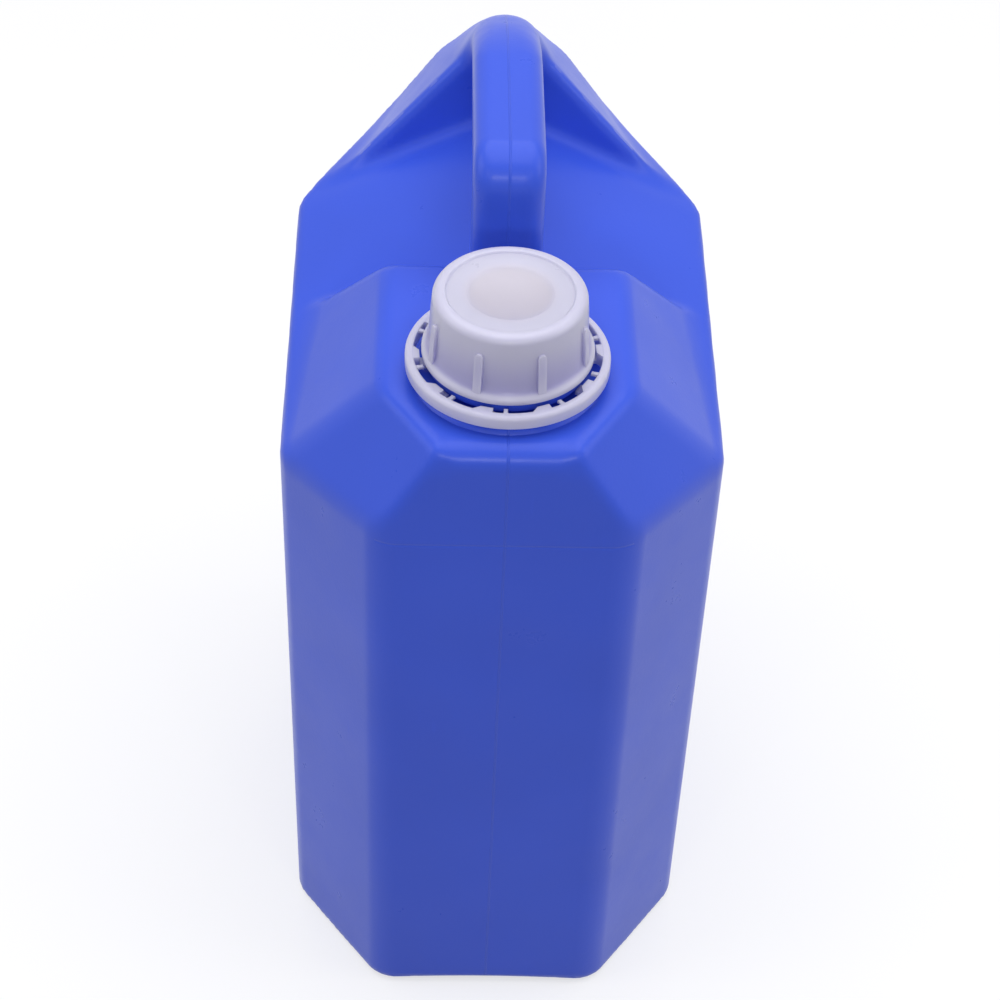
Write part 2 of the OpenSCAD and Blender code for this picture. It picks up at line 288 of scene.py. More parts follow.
def form_mesh(form, low, high, step):
    """Points and four-sided faces on the surface where form is 0, by dual cells that are then moved onto it."""
    axes = [np.arange(a - 2 * step, b + 2.5 * step, step) for a, b in zip(low, high)]
    value = form(axes[0][:, None, None], axes[1][None, :, None], axes[2][None, None, :])
    shape = value.shape
    total, count = np.zeros((*(s - 1 for s in shape), 3)), np.zeros([s - 1 for s in shape])
    inside = value < 0
    for axis in range(3):
        u, v = (a for a in range(3) if a != axis)
        near = [slice(None)] * 3
        far = [slice(None)] * 3
        near[axis], far[axis] = slice(0, -1), slice(1, None)
        a, b = value[tuple(near)], value[tuple(far)]
        crossing = inside[tuple(near)] != inside[tuple(far)]
        part = np.where(crossing, a / np.where(a == b, 1, a - b), 0)
        for du in (0, 1):
            for dv in (0, 1):
                window = [slice(None)] * 3
                window[u] = slice(du, shape[u] - 1 + du)
                window[v] = slice(dv, shape[v] - 1 + dv)
                hit = crossing[tuple(window)]
                count += hit
                total[..., axis] += part[tuple(window)]
                total[..., u] += hit * du
                total[..., v] += hit * dv
    active = count > 0
    number = np.full(active.shape, -1)
    number[active] = np.arange(active.sum())
    cell = np.argwhere(active)
    points = (cell + total[active] / count[active][:, None]) * step + [a[0] for a in axes]
    faces = []
    for axis in range(3):
        u, v = (axis + 1) % 3, (axis + 2) % 3
        near = [slice(1, -1)] * 3
        far = [slice(1, -1)] * 3
        near[axis], far[axis] = slice(0, -1), slice(1, None)
        a, b = inside[tuple(near)], inside[tuple(far)]
        for leaving, order in ((a & ~b, (0, 1, 2, 3)), (b & ~a, (3, 2, 1, 0))):
            at = np.argwhere(leaving) + [0 if k == axis else 1 for k in range(3)]
            corner = []
            for du, dv in ((1, 1), (0, 1), (0, 0), (1, 0)):
                c = at.copy()
                c[:, u] -= du
                c[:, v] -= dv
                corner.append(number[c[:, 0], c[:, 1], c[:, 2]])
            faces.append(np.stack([corner[k] for k in order], 1))
    return onto(form, points, step), np.concatenate(faces)


def onto(form, points, step, rounds=5):
    """Moves points along the form's slope onto its surface."""
    h = 0.02
    for _ in range(rounds):
        x, y, z = points.T
        value = form(x, y, z)
        slope = np.stack(
            [
                form(x + h, y, z) - form(x - h, y, z),
                form(x, y + h, z) - form(x, y - h, z),
                form(x, y, z + h) - form(x, y, z - h),
            ],
            1,
        ) / (2 * h)
        move = slope * (value / np.maximum((slope**2).sum(1), 0.05))[:, None]
        points = points - np.clip(move, -step / 2, step / 2)
    return points


# Geometry Nodes


def node_tree(name, inputs):
    """A Geometry Nodes tree with a Geometry output and the named inputs, and its two end nodes."""
    tree = bpy.data.node_groups.new(name, "GeometryNodeTree")
    tree.is_modifier = True
    tree.interface.new_socket("Geometry", in_out="OUTPUT", socket_type="NodeSocketGeometry")
    for label, kind in inputs:
        tree.interface.new_socket(label, in_out="INPUT", socket_type="NodeSocket" + kind)
    return tree, tree.nodes.new("NodeGroupInput"), tree.nodes.new("NodeGroupOutput")


def put(tree, kind, links=(), **values):
    """A new node with its properties set and its inputs linked, each as (input, output socket)."""
    node = tree.nodes.new(kind)
    for key, value in values.items():
        setattr(node, key, value)
    for target, source in links:
        if hasattr(source, "is_output"):
            tree.links.new(source, node.inputs[target])
        else:
            node.inputs[target].default_value = source
    return node


def round_the_neck_tree():
    """Repeats the mesh that it is given, drawn round the Z axis, at equal turns round the neck."""
    tree, start, end = node_tree(
        "Round the neck",
        [("Piece", "Geometry"), ("Count", "Int"), ("Turn", "Float"), ("Centre", "Vector"), ("Material", "Material")],
    )
    spots = put(tree, "GeometryNodePoints", [("Count", start.outputs["Count"])])
    cell = put(tree, "ShaderNodeMath", [(0, math.tau), (1, start.outputs["Count"])], operation="DIVIDE")
    index = put(tree, "GeometryNodeInputIndex")
    turn = put(
        tree, "ShaderNodeMath", [(0, index.outputs[0]), (1, cell.outputs[0]), (2, start.outputs["Turn"])],
        operation="MULTIPLY_ADD",
    )
    spin = put(tree, "ShaderNodeCombineXYZ", [("Z", turn.outputs[0])])
    copies = put(
        tree, "GeometryNodeInstanceOnPoints",
        [("Points", spots.outputs[0]), ("Instance", start.outputs["Piece"]), ("Rotation", spin.outputs[0])],
    )
    real = put(tree, "GeometryNodeRealizeInstances", [(0, copies.outputs[0])])
    moved = put(
        tree, "GeometryNodeTransform",
        [("Geometry", real.outputs[0]), ("Translation", start.outputs["Centre"])],
    )
    made = put(
        tree, "GeometryNodeSetMaterial",
        [("Geometry", moved.outputs[0]), ("Material", start.outputs["Material"])],
    )
    tree.links.new(made.outputs[0], end.inputs[0])
    return tree


def thread_tree():
    """A screw thread round the neck: a section swept along a helix, which runs out to nothing at its ends."""
    tree, start, end = node_tree(
        "Screw thread",
        [
            ("Piece", "Geometry"), ("Radius", "Float"), ("Pitch", "Float"), ("Turns", "Float"),
            ("Crest", "Float"), ("Root", "Float"), ("Depth", "Float"), ("Inward", "Float"),
            ("Start", "Vector"), ("Material", "Material"),
        ],
    )
    height = put(
        tree, "ShaderNodeMath", [(0, start.outputs["Pitch"]), (1, start.outputs["Turns"])], operation="MULTIPLY"
    )
    helix = put(
        tree, "GeometryNodeCurveSpiral",
        [
            ("Resolution", 96), ("Rotations", start.outputs["Turns"]), ("Start Radius", start.outputs["Radius"]),
            ("End Radius", start.outputs["Radius"]), ("Height", height.outputs[0]),
        ],
    )
    upright = put(tree, "GeometryNodeSetCurveNormal", [(0, helix.outputs[0])], mode="Z_UP")
    along = put(tree, "GeometryNodeSplineParameter")
    late = put(tree, "ShaderNodeMath", [(0, 1.0), (1, along.outputs["Factor"])], operation="SUBTRACT")
    near = put(tree, "ShaderNodeMath", [(0, along.outputs["Factor"]), (1, late.outputs[0])], operation="MINIMUM")
    fade = put(
        tree, "ShaderNodeMapRange",
        [("Value", near.outputs[0]), ("From Min", 0.0), ("From Max", 0.07), ("To Min", 0.12), ("To Max", 1.0)],
    )
    faded = put(tree, "GeometryNodeSetCurveRadius", [("Curve", upright.outputs[0]), ("Radius", fade.outputs[0])])
    section = put(
        tree, "GeometryNodeCurvePrimitiveQuadrilateral",
        [
            ("Bottom Width", start.outputs["Root"]), ("Top Width", start.outputs["Crest"]),
            ("Height", start.outputs["Depth"]), ("Offset", 0.0),
        ],
        mode="TRAPEZOID",
    )
    quarter = put(
        tree, "GeometryNodeTransform",
        [("Geometry", section.outputs[0]), ("Rotation", (0.0, 0.0, 0.0))],
    )
    turned = put(tree, "ShaderNodeCombineXYZ", [("Z", start.outputs["Inward"])])
    tree.links.new(turned.outputs[0], quarter.inputs["Rotation"])
    swept = put(
        tree, "GeometryNodeCurveToMesh",
        [("Curve", faded.outputs[0]), ("Profile Curve", quarter.outputs[0]), ("Fill Caps", True)],
    )
    if "Scale" in swept.inputs:
        radius = put(tree, "GeometryNodeInputRadius")
        tree.links.new(radius.outputs[0], swept.inputs["Scale"])
    moved = put(
        tree, "GeometryNodeTransform",
        [("Geometry", swept.outputs[0]), ("Translation", start.outputs["Start"])],
    )
    made = put(
        tree, "GeometryNodeSetMaterial",
        [("Geometry", moved.outputs[0]), ("Material", start.outputs["Material"])],
    )
    tree.links.new(made.outputs[0], end.inputs[0])
    return tree


def grown(obj, tree, **inputs):
    """Runs obj through a tree with the named inputs, and keeps the result as its plain mesh."""
    change = obj.modifiers.new(tree.name, "NODES")
    sockets = {s.name: s.identifier for s in tree.interface.items_tree if s.in_out == "INPUT"}
    change.node_group = tree
    for name, value in inputs.items():
        change[sockets[name]] = value
    depsgraph = bpy.context.evaluated_depsgraph_get()
    result = bpy.data.meshes.new_from_object(obj.evaluated_get(depsgraph))
    obj.modifiers.remove(change)
    old = obj.data
    obj.data = result
    bpy.data.meshes.remove(old)
    clean(obj)
    return obj


def block(name, outline, low, high, material):
    """A prism over an outline, counter-clockwise in plan."""
    n = len(outline)
    points = [(x, y, z) for z in (low, high) for x, y in outline]
    faces = [tuple(range(n - 1, -1, -1)), tuple(range(n, 2 * n))]
    faces += [(i, (i + 1) % n, n + (i + 1) % n, n + i) for i in range(n)]
    return object_from(name, points, faces, material)


def polar(*pairs):
    return [(r * math.cos(math.radians(a)), r * math.sin(math.radians(a))) for r, a in pairs]


# Materials


def shader_group(name, inputs, outputs):
    tree = bpy.data.node_groups.new(name, "ShaderNodeTree")
    for label, value in inputs:
        tree.interface.new_socket(label, in_out="INPUT", socket_type="NodeSocketFloat").default_value = value
    for label, kind in outputs:
        tree.interface.new_socket(label, in_out="OUTPUT", socket_type="NodeSocket" + kind)
    return tree, tree.nodes.new("NodeGroupInput"), tree.nodes.new("NodeGroupOutput")


def moulded_surface_group():
    """The fine grain, faint waviness and light scuffs of moulded polyethylene."""
    tree, start, end = shader_group(
        "Moulded surface",
        [("Grain size", 0.0012), ("Grain depth", 0.00004), ("Wave depth", 0.0002), ("Scuffs", 0.4), ("Gloss", 0.4)],
        [("Shade", "Float"), ("Roughness", "Float"), ("Normal", "Vector")],
    )
    place = put(tree, "ShaderNodeTexCoord")
    fineness = put(tree, "ShaderNodeMath", [(0, 1.0), (1, start.outputs["Grain size"])], operation="DIVIDE")
    grain = put(
        tree, "ShaderNodeTexNoise",
        [("Vector", place.outputs["Object"]), ("Scale", fineness.outputs[0]), ("Detail", 3.0), ("Roughness", 0.6)],
    )
    wave = put(
        tree, "ShaderNodeTexNoise", [("Vector", place.outputs["Object"]), ("Scale", 22.0), ("Detail", 1.0)]
    )
    patches = put(
        tree, "ShaderNodeTexNoise",
        [("Vector", place.outputs["Object"]), ("Scale", 60.0), ("Detail", 5.0), ("Roughness", 0.7)],
    )
    stretched = put(
        tree, "ShaderNodeMapping", [("Vector", place.outputs["Object"]), ("Scale", (700.0, 700.0, 60.0))]
    )
    hairs = put(tree, "ShaderNodeTexNoise", [("Vector", stretched.outputs[0]), ("Scale", 1.0), ("Detail", 2.0)])
    scuffed = put(
        tree, "ShaderNodeMapRange",
        [("Value", hairs.outputs[0]), ("From Min", 0.62), ("From Max", 0.78), ("To Min", 0.0), ("To Max", 1.0)],
    )
    worn = put(
        tree, "ShaderNodeMapRange",
        [("Value", patches.outputs[0]), ("From Min", 0.5), ("From Max", 0.75), ("To Min", 0.0), ("To Max", 1.0)],
    )
    scuff = put(tree, "ShaderNodeMath", [(0, scuffed.outputs[0]), (1, worn.outputs[0])], operation="MULTIPLY")
    scuff = put(tree, "ShaderNodeMath", [(0, scuff.outputs[0]), (1, start.outputs["Scuffs"])], operation="MULTIPLY")
    rough = put(
        tree, "ShaderNodeMapRange",
        [("Value", patches.outputs[0]), ("From Min", 0.3), ("From Max", 0.7), ("To Min", -0.03), ("To Max", 0.04)],
    )
    rough = put(tree, "ShaderNodeMath", [(0, rough.outputs[0]), (1, start.outputs["Gloss"])], operation="ADD")
    rough = put(
        tree, "ShaderNodeMath", [(0, scuff.outputs[0]), (1, 0.2), (2, rough.outputs[0])], operation="MULTIPLY_ADD"
    )
    shade_low = put(
        tree, "ShaderNodeMapRange",
        [("Value", wave.outputs[0]), ("From Min", 0.3), ("From Max", 0.7), ("To Min", 0.97), ("To Max", 1.03)],
    )
    shade_all = put(
        tree, "ShaderNodeMath", [(0, scuff.outputs[0]), (1, 0.18), (2, shade_low.outputs[0])],
        operation="MULTIPLY_ADD",
    )
    swell = put(
        tree, "ShaderNodeBump",
        [("Strength", 1.0), ("Distance", start.outputs["Wave depth"]), ("Height", wave.outputs[0])],
    )
    grainy = put(
        tree, "ShaderNodeBump",
        [
            ("Strength", 1.0), ("Distance", start.outputs["Grain depth"]), ("Height", grain.outputs[0]),
            ("Normal", swell.outputs[0]),
        ],
    )
    tree.links.new(shade_all.outputs[0], end.inputs["Shade"])
    tree.links.new(rough.outputs[0], end.inputs["Roughness"])
    tree.links.new(grainy.outputs[0], end.inputs["Normal"])
    return tree


def plastic(name, colour, group, settings, **fixed):
    """A moulded plastic whose colour is varied by the surface group's shade."""
    material = bpy.data.materials.new(name)
    material.use_nodes = True
    tree = material.node_tree
    shader = tree.nodes["Principled BSDF"]
    surface = put(tree, "ShaderNodeGroup", node_tree=group)
    for label, value in settings.items():
        surface.inputs[label].default_value = value
    varied = put(
        tree, "ShaderNodeMix", [("Factor", 1.0)], data_type="RGBA", blend_type="MULTIPLY", clamp_result=False
    )
    varied.inputs[6].default_value = (*colour, 1)
    tree.links.new(surface.outputs["Shade"], varied.inputs[7])
    tree.links.new(varied.outputs[2], shader.inputs["Base Color"])
    tree.links.new(surface.outputs["Roughness"], shader.inputs["Roughness"])
    tree.links.new(surface.outputs["Normal"], shader.inputs["Normal"])
    for label, value in fixed.items():
        shader.inputs[label.replace("_", " ")].default_value = value
    return material


def add_seam(material, half_width, height, crease):
    """A raised parting line on the plane x = 0 and a faint crease across the front panel, over the normal."""
    tree = material.node_tree
    shader = tree.nodes["Principled BSDF"]
    surface_normal = shader.inputs["Normal"].links[0].from_socket
    place = put(tree, "ShaderNodeTexCoord")
    across = put(tree, "ShaderNodeSeparateXYZ", [(0, place.outputs["Object"])])
    off = put(tree, "ShaderNodeMath", [(0, across.outputs["X"])], operation="ABSOLUTE")
    ridge = put(
        tree, "ShaderNodeMapRange",
        [("Value", off.outputs[0]), ("From Min", 0.0), ("From Max", half_width), ("To Min", 1.0), ("To Max", 0.0)],
        interpolation_type="SMOOTHSTEP",
    )
    bump = put(
        tree, "ShaderNodeBump",
        [("Strength", 1.0), ("Distance", height), ("Height", ridge.outputs[0]), ("Normal", surface_normal)],
    )
    up = put(tree, "ShaderNodeMath", [(0, across.outputs["Z"]), (1, crease)], operation="SUBTRACT")
    up = put(tree, "ShaderNodeMath", [(0, up.outputs[0])], operation="ABSOLUTE")
    groove = put(
        tree, "ShaderNodeMapRange",
        [("Value", up.outputs[0]), ("From Min", 0.0), ("From Max", 0.0007), ("To Min", 0.0), ("To Max", 1.0)],
        interpolation_type="SMOOTHSTEP",
    )
    ahead = put(tree, "ShaderNodeMath", [(0, across.outputs["Y"]), (1, JUG_LOW.y + 0.002)], operation="GREATER_THAN")
    lined = put(tree, "ShaderNodeMath", [(0, groove.outputs[0]), (1, ahead.outputs[0])], operation="MAXIMUM")
    creased = put(
        tree, "ShaderNodeBump",
        [("Strength", 0.6), ("Distance", height), ("Height", lined.outputs[0]), ("Normal", bump.outputs[0])],
    )
    tree.links.new(creased.outputs[0], shader.inputs["Normal"])


def jug_plastic():
    group = bpy.data.node_groups.get("Moulded surface") or moulded_surface_group()
    material = plastic(
        "Blue polyethylene", bpy.context.scene.jug_sizes.colour, group,
        {"Grain size": 0.0011, "Grain depth": 0.00003, "Wave depth": 0.0005, "Scuffs": 0.35, "Gloss": 0.30},
        IOR=1.5, Specular_IOR_Level=0.24,
    )
    add_seam(material, 0.0005, 0.0002, JUG_HIGH.z - 0.0815)
    return material


def closure_plastic():
    """Natural polyethylene, with painted blue light from the jug in its colour, warmer where the liner backs it, and
    darker and bluer low on the recessed skirt: painted shade there, with the blue neck showing through.
    """
    found = bpy.data.materials.get("Natural polyethylene")
    if found:
        return found
    sizes = bpy.context.scene.closure_sizes
    group = bpy.data.node_groups.get("Moulded surface") or moulded_surface_group()
    material = plastic(
        "Natural polyethylene", sizes.colour, group,
        {"Grain size": 0.0008, "Grain depth": 0.00001, "Wave depth": 0.0001, "Scuffs": 0.2, "Gloss": 0.30},
        IOR=1.5, Subsurface_Weight=0.55, Subsurface_Scale=0.005, Subsurface_Radius=(1.0, 1.0, 1.1),
    )
    tree = material.node_tree
    place = put(tree, "ShaderNodeTexCoord")
    apart = put(tree, "ShaderNodeSeparateXYZ", [(0, place.outputs["Object"])])
    off = put(tree, "ShaderNodeMath", [(0, apart.outputs["Y"]), (1, NECK_Y)], operation="SUBTRACT")
    squares = put(tree, "ShaderNodeMath", [(0, off.outputs[0]), (1, off.outputs[0])], operation="MULTIPLY")
    squares = put(
        tree, "ShaderNodeMath", [(0, apart.outputs["X"]), (1, apart.outputs["X"]), (2, squares.outputs[0])],
        operation="MULTIPLY_ADD",
    )
    radius = put(tree, "ShaderNodeMath", [(0, squares.outputs[0])], operation="SQRT")
    centre = put(
        tree, "ShaderNodeMapRange",
        [("Value", radius.outputs[0]), ("From Min", 0.0095), ("From Max", 0.0150), ("To Min", 1.0), ("To Max", 0.0)],
        interpolation_type="SMOOTHSTEP",
    )
    # Mask low on the skirt, off the flange, where the painted shade and the blue of the neck go
    foot = put(
        tree, "ShaderNodeMapRange",
        [
            ("Value", apart.outputs["Z"]), ("From Min", CAP_LOW.z + 0.004), ("From Max", CAP_HIGH.z - 0.003),
            ("To Min", 1.0), ("To Max", 0.0),
        ],
        interpolation_type="SMOOTHSTEP",
    )
    rim = put(
        tree, "ShaderNodeMapRange",
        [
            ("Value", radius.outputs[0]), ("From Min", CAP_HIGH.x - 0.0016), ("From Max", CAP_HIGH.x - 0.0006),
            ("To Min", 1.0), ("To Max", 0.0),
        ],
        interpolation_type="SMOOTHSTEP",
    )
    foot = put(tree, "ShaderNodeMath", [(0, foot.outputs[0]), (1, rim.outputs[0])], operation="MULTIPLY")
    colour = sizes.colour
    for mask, other in ((foot, sizes.shaded_foot_colour), (centre, sizes.centre_colour)):
        mixed = put(tree, "ShaderNodeMix", [("Factor", mask.outputs[0])], data_type="RGBA")
        if hasattr(colour, "is_output"):
            tree.links.new(colour, mixed.inputs[6])
        else:
            mixed.inputs[6].default_value = (*colour, 1)
        mixed.inputs[7].default_value = (*other, 1)
        colour = mixed.outputs[2]
    varied = tree.nodes["Principled BSDF"].inputs["Base Color"].links[0].from_node
    tree.links.new(colour, varied.inputs[6])
    return material


def background_ray(tree):
    """Whether a ray shows the background: straight to the camera, or by way of a glossy or clear surface"""
    seen = tree.nodes.new("ShaderNodeLightPath")
    ray = seen.outputs["Is Camera Ray"]
    for kind in ("Is Glossy Ray", "Is Transmission Ray"):
        ray = put(tree, "ShaderNodeMath", [(0, ray), (1, seen.outputs[kind])], operation="MAXIMUM").outputs[0]
    return ray


def foam():
    group = bpy.data.node_groups.get("Moulded surface") or moulded_surface_group()
    return plastic(
        "Foam liner", bpy.context.scene.closure_sizes.liner_colour, group,
        {"Grain size": 0.0006, "Grain depth": 0.00008, "Wave depth": 0.0001, "Scuffs": 0.0, "Gloss": 0.85},
    )


# Operators


class JUG_OT_body(bpy.types.Operator):
    """Build the blow-moulded body with its handle, neck and thread"""

    bl_idname = "jug.body"
    bl_label = "Blow-moulded body"

    def execute(self, context):
        sizes = context.scene.jug_sizes
        material = jug_plastic()
        low, high = JUG_LOW / MM, JUG_HIGH / MM
        points, faces = form_mesh(jug_form, low, high, sizes.mesh_step / MM)
        points[:, 2] = np.maximum(points[:, 2], 0)
        body = object_from("blown_jug", points * MM, faces, material)

        platform, top, bore = 0.247, CAP_HIGH.z - 0.0032, sizes.neck_bore / 2
        rim = 0.0185
        neck = lathe(
            "neck",
            [
                (0, platform - 0.0012), (0.0280, platform - 0.0012), (0.0278, platform), (0.0270, platform + 0.0012),
                (0.0266, platform + 0.0014), (rim + 0.0008, platform + 0.0014), (rim, platform + 0.0022),
                (rim, top - 0.0008), (rim - 0.0003, top - 0.0002), (rim - 0.0008, top), (0, top),
            ],
            material,
        )
        flange_top = CAP_LOW.z - 0.0008
        flange = lathe(
            "flange",
            [
                (rim - 0.002, flange_top - 0.0022), (0.0233, flange_top - 0.0022), (0.0233, flange_top - 0.0004),
                (0.0229, flange_top), (rim - 0.002, flange_top),
            ],
            material,
        )
        thread = object_from("neck thread", [(0, 0, 0)], [], material)
        grown(
            thread, thread_tree(), Radius=rim + 0.0002, Pitch=sizes.thread_pitch, Turns=sizes.thread_turns,
            Crest=0.0009, Root=0.0026, Depth=0.0020, Inward=0.0, Start=(0, NECK_Y, 0.2618), Material=material,
        )
        combined(body, [neck, flange, thread], "UNION")
        wall = sizes.wall / MM
        points, faces = form_mesh(lambda *p: jug_form(*p) + wall, low, high, 2 * sizes.mesh_step / MM)
        chamber = object_from("chamber", points * MM, faces, material)
        mouth = lathe(
            "mouth", [(0, platform - 0.006), (bore, platform - 0.006), (bore, top + 0.01), (0, top + 0.01)], material
        )
        combined(body, [chamber, mouth], "DIFFERENCE")
        clean(body)
        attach(body, "jug")
        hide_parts("jug_body")
        return {"FINISHED"}


class JUG_OT_cap(bpy.types.Operator):
    """Build the screw cap with its grip ribs and inner thread"""

    bl_idname = "jug.cap"
    bl_label = "Screw cap"

    def execute(self, context):
        sizes, jug = context.scene.closure_sizes, context.scene.jug_sizes
        material = closure_plastic()
        foot, top = CAP_LOW.z, CAP_HIGH.z
        bore = LINER_HIGH.x + 0.0003
        rim, flange, ceiling = 0.022, CAP_HIGH.x, LINER_HIGH.z
        skirt = [
            (flange - 0.0004, foot), (flange, foot + 0.0004), (flange, foot + 0.0014), (flange - 0.0003, foot + 0.0021),
            (rim + 0.0014, foot + 0.0031), (rim + 0.0010, foot + 0.0040), (rim + 0.0007, foot + 0.0058),
            (rim + 0.0003, foot + 0.0154),
        ]
        crown = turned_arc((rim - 0.0024, top - 0.0024), 0.0024, 0, 90, 8)
        sunken = turned_arc((0.0186, top - 0.0003), 0.0003, 90, 180, 3)
        sunken += [(0.0180, top - 0.0006), (0.0128, top - 0.0006), (0.0120, top - 0.0008), (0.0114, top - 0.0011)]
        inside = [
            (0, top - 0.0011), (0, ceiling), (bore, ceiling), (bore, foot + 0.0006), (bore + 0.0006, foot),
        ]
        cap = lathe("screw_cap", skirt + crown + sunken + inside, material)
        half = sizes.rib_width / 2
        rib_face = [(half * math.cos(a), half * math.sin(a)) for a in np.linspace(0, math.pi, 9)]
        outline = [(half, 0.0022), *[(x, 0.0142 + z) for x, z in rib_face], (-half, 0.0022)]
        points = []
        for lean_foot, lean_top in ((0.0205, 0.0205), (rim + 0.0021, rim + 0.0011)):
            for x, z in outline:
                share = (z - 0.0022) / 0.0132
                points.append((lean_foot + (lean_top - lean_foot) * share, x, foot + z))
        n = len(outline)
        faces = [tuple(range(n)), tuple(range(2 * n - 1, n - 1, -1))]
        faces += [(i, n + i, n + (i + 1) % n, (i + 1) % n) for i in range(n)]
        ribs = object_from("grip ribs", points, faces, material)
        clean(ribs)
        tree = bpy.data.node_groups.get("Round the neck") or round_the_neck_tree()
        grown(
            ribs, tree, Count=sizes.grip_ribs, Turn=math.pi / sizes.grip_ribs, Centre=(0, NECK_Y, 0),
            Material=material,
        )
        combined(cap, [ribs], "UNION")
        thread = object_from("cap thread", [(0, 0, 0)], [], material)
        grown(
            thread, bpy.data.node_groups.get("Screw thread") or thread_tree(), Radius=bore - 0.0001,
            Pitch=jug.thread_pitch, Turns=1.5, Crest=0.0008, Root=0.0022, Depth=0.0018, Inward=math.pi,
            Start=(0, NECK_Y, 0.2593), Material=material,
        )
        combined(cap, [thread], "UNION")
        clean(cap)
        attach(cap, "cap")
        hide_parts("cap")
        return {"FINISHED"}


class JUG_OT_liner(bpy.types.Operator):
    """Build the foam liner that seals on the neck's rim"""

    bl_idname = "jug.liner"
    bl_label = "Foam liner"

    def execute(self, context):
        low, high, radius = LINER_LOW.z, LINER_HIGH.z, LINER_HIGH.x
        section = [(0, low), (radius - 0.0002, low), (radius, low + 0.0002), (radius, high - 0.0002)]
        section += [(radius - 0.0002, high), (0, high)]
        liner = lathe("foam_liner", section, foam())
        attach(liner, "liner")
        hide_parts("cap_liner")
        return {"FINISHED"}


class JUG_OT_tamper_ring(bpy.types.Operator):
    """Build the tamper ring with its bridges and teeth"""

    bl_idname = "jug.tamper_ring"
    bl_label = "Tamper ring"

    def execute(self, context):
        sizes = context.scene.closure_sizes
        material = closure_plastic()
        low, top, outer = RING_LOW.z, RING_HIGH.z, RING_HIGH.x
        inner, thickness = 0.0271, 0.0012
        section = [
            (inner, low), (outer - 0.0003, low), (outer, low + 0.0003),
            *turned_arc((outer - 0.0013, top - 0.0013), 0.0013, 0, 90, 6), (inner + 0.0002, top), (inner, top - 0.0002),
        ]
        ring = lathe("tamper_band", section, material)
        count = sizes.bridges
        cell = 360 / count
        turn = math.radians(16)
        tree = bpy.data.node_groups.get("Round the neck") or round_the_neck_tree()
        near, root = CAP_HIGH.x + 0.0006, inner + 0.0006
        tooth = block(
            "teeth",
            polar(
                (near, cell * 0.56), (root, cell * 0.42), (root, cell * 0.5), (root, cell * 0.78), (near, cell * 0.78)
            ),
            low, top - 0.0001, material,
        )
        hook = block(
            "hooks",
            polar((0.0233, cell * 0.56), (root, cell * 0.56), (root, cell * 0.78), (0.0233, cell * 0.78)),
            low, CAP_LOW.z - 0.0033, material,
        )
        half = sizes.bridge_width / 2
        tip = CAP_HIGH.x + 0.0003
        bridge = block(
            "bridges",
            [(tip, -half), (tip + 0.0006, -half * 0.7), (root, -half * 1.3), (root, half * 1.3),
             (tip + 0.0006, half * 0.7), (tip, half)],
            top - thickness, top - 0.0003, material,
        )
        for piece in (tooth, hook, bridge):
            grown(piece, tree, Count=count, Turn=turn, Centre=(0, NECK_Y, 0), Material=material)
        combined(ring, [tooth, hook, bridge], "UNION")
        clean(ring)
        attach(ring, "jug")
        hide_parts("tamper_ring")
        return {"FINISHED"}


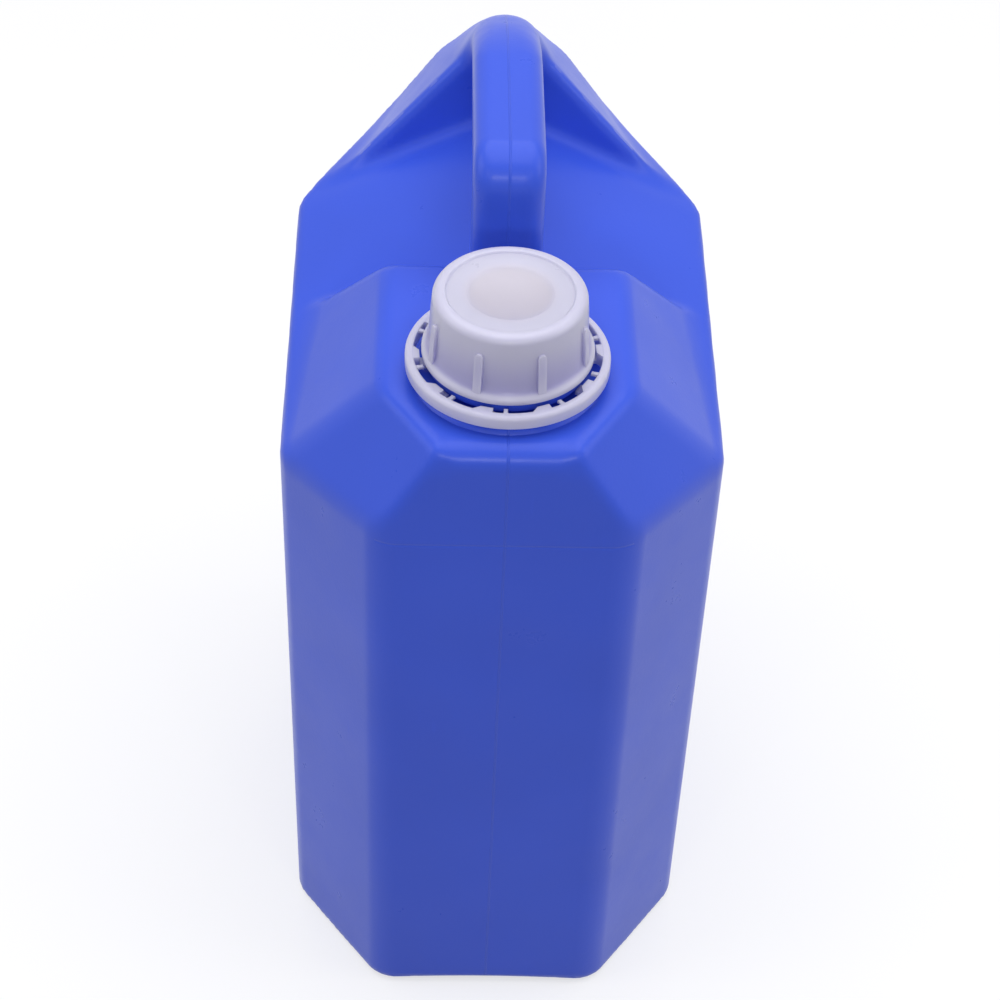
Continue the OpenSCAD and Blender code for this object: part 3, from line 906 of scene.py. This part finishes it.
class JUG_OT_stage(bpy.types.Operator):
    """Build the floor, the lamps and the camera"""

    bl_idname = "jug.stage"
    bl_label = "Stage"

    def execute(self, context):
        settings = context.scene.jug_stage
        floor_material = bpy.data.materials.new("Pale floor")
        floor_material.use_nodes = True
        tree = floor_material.node_tree
        tree.nodes.clear()
        glow = put(tree, "ShaderNodeMath", [(0, background_ray(tree)), (1, settings.floor_glow)], operation="MULTIPLY")
        matt = put(tree, "ShaderNodeBsdfDiffuse")
        matt.inputs["Color"].default_value = (*settings.floor_colour, 1)
        light = put(tree, "ShaderNodeEmission", [("Strength", glow.outputs[0])])
        summed = put(tree, "ShaderNodeAddShader", [(0, matt.outputs[0]), (1, light.outputs[0])])
        output = tree.nodes.new("ShaderNodeOutputMaterial")
        tree.links.new(summed.outputs[0], output.inputs["Surface"])
        size = 3.0
        floor = object_from(
            "floor", [(-size, -size, 0), (size, -size, 0), (size, size, 0), (-size, size, 0)], [(0, 1, 2, 3)],
            floor_material,
        )

        world = context.scene.world or bpy.data.worlds.new("World")
        context.scene.world = world
        world.use_nodes = True
        tree = world.node_tree
        tree.nodes.clear()
        soft = put(tree, "ShaderNodeBackground", [("Strength", settings.ambient)])
        white = put(tree, "ShaderNodeBackground", [("Strength", 1.0)])
        choice = put(
            tree, "ShaderNodeMixShader", [(0, background_ray(tree)), (1, soft.outputs[0]), (2, white.outputs[0])]
        )
        output = tree.nodes.new("ShaderNodeOutputWorld")
        tree.links.new(choice.outputs[0], output.inputs["Surface"])

        self.lamp(context, "overhead lamp", (0.05, 0.2, 1.45), (0, -0.02, 0.2), 1.8, settings.key_power)
        self.lamp(context, "left lamp", (-1.1, -0.15, 0.75), (0, -0.05, 0.15), 0.9, settings.side_power)
        self.lamp(context, "right lamp", (1.1, -0.15, 0.75), (0, -0.05, 0.15), 0.9, settings.side_power)
        for side, place, share in (
            ("left", (-0.5, -1.05, 0.92), 0.3), ("middle", (0, -1.1, 0.68), 1.0), ("right", (0.5, -1.05, 0.92), 0.3)
        ):
            power = share * settings.front_power
            self.lamp(context, "front " + side + " lamp", place, (0, -0.05, 0.22), 0.17, power)
        self.camera(context)
        context.scene.view_settings.view_transform = "Standard"
        return {"FINISHED"}

    def lamp(self, context, name, place, target, size, power):
        data = bpy.data.lights.new(name, "AREA")
        data.shape = "DISK"
        data.size = size
        data.energy = power
        lamp = bpy.data.objects.new(name, data)
        context.scene.collection.objects.link(lamp)
        way = Vector(target) - Vector(place)
        lamp.matrix_world = Matrix.Translation(place) @ way.to_track_quat("-Z", "Y").to_matrix().to_4x4()

    def camera(self, context):
        """The photograph's camera: its place, its tilt, turn and roll, and its focal length."""
        tilt, turn, roll = math.radians(42.99), math.radians(2.22), math.radians(2.43)
        ahead = Vector((math.sin(turn) * math.cos(tilt), math.cos(turn) * math.cos(tilt), -math.sin(tilt)))
        level = Vector((math.cos(turn), -math.sin(turn), 0))
        upward = level.cross(ahead)
        right = math.cos(roll) * level + math.sin(roll) * upward
        up = math.cos(roll) * upward - math.sin(roll) * level
        data = bpy.data.cameras.new("camera")
        data.lens = 83.17
        data.sensor_width = 36
        camera = bpy.data.objects.new("camera", data)
        context.scene.collection.objects.link(camera)
        turned = Matrix((right, up, -ahead)).transposed().to_4x4()
        camera.matrix_world = Matrix.Translation((-0.0203, -0.5725, 0.6731)) @ turned
        context.scene.camera = camera


class JUG_PT_panel(bpy.types.Panel):
    bl_idname = "JUG_PT_panel"
    bl_label = "Fluid jug"
    bl_space_type = "VIEW_3D"
    bl_region_type = "UI"
    bl_category = "Jug"

    def draw(self, context):
        for owner, operators in (
            (context.scene.jug_sizes, (JUG_OT_body,)),
            (context.scene.closure_sizes, (JUG_OT_cap, JUG_OT_liner, JUG_OT_tamper_ring)),
            (context.scene.jug_stage, (JUG_OT_stage,)),
        ):
            box = self.layout.box()
            for name in owner.__annotations__:
                box.prop(owner, name)
            for operator in operators:
                box.operator(operator.bl_idname)


SETTINGS = (("jug_sizes", JugSizes), ("closure_sizes", ClosureSizes), ("jug_stage", StageSettings))
OPERATORS = (JUG_OT_body, JUG_OT_cap, JUG_OT_liner, JUG_OT_tamper_ring, JUG_OT_stage)


def register():
    for name, settings in SETTINGS:
        bpy.utils.register_class(settings)
        setattr(bpy.types.Scene, name, PointerProperty(type=settings))
    for kind in (*OPERATORS, JUG_PT_panel):
        bpy.utils.register_class(kind)


def unregister():
    for kind in (JUG_PT_panel, *reversed(OPERATORS)):
        bpy.utils.unregister_class(kind)
    for name, settings in reversed(SETTINGS):
        delattr(bpy.types.Scene, name)
        bpy.utils.unregister_class(settings)


def main():
    register()
    for kind in OPERATORS:
        area, name = kind.bl_idname.split(".")
        getattr(getattr(bpy.ops, area), name)()


if __name__ == "__main__":
    main()
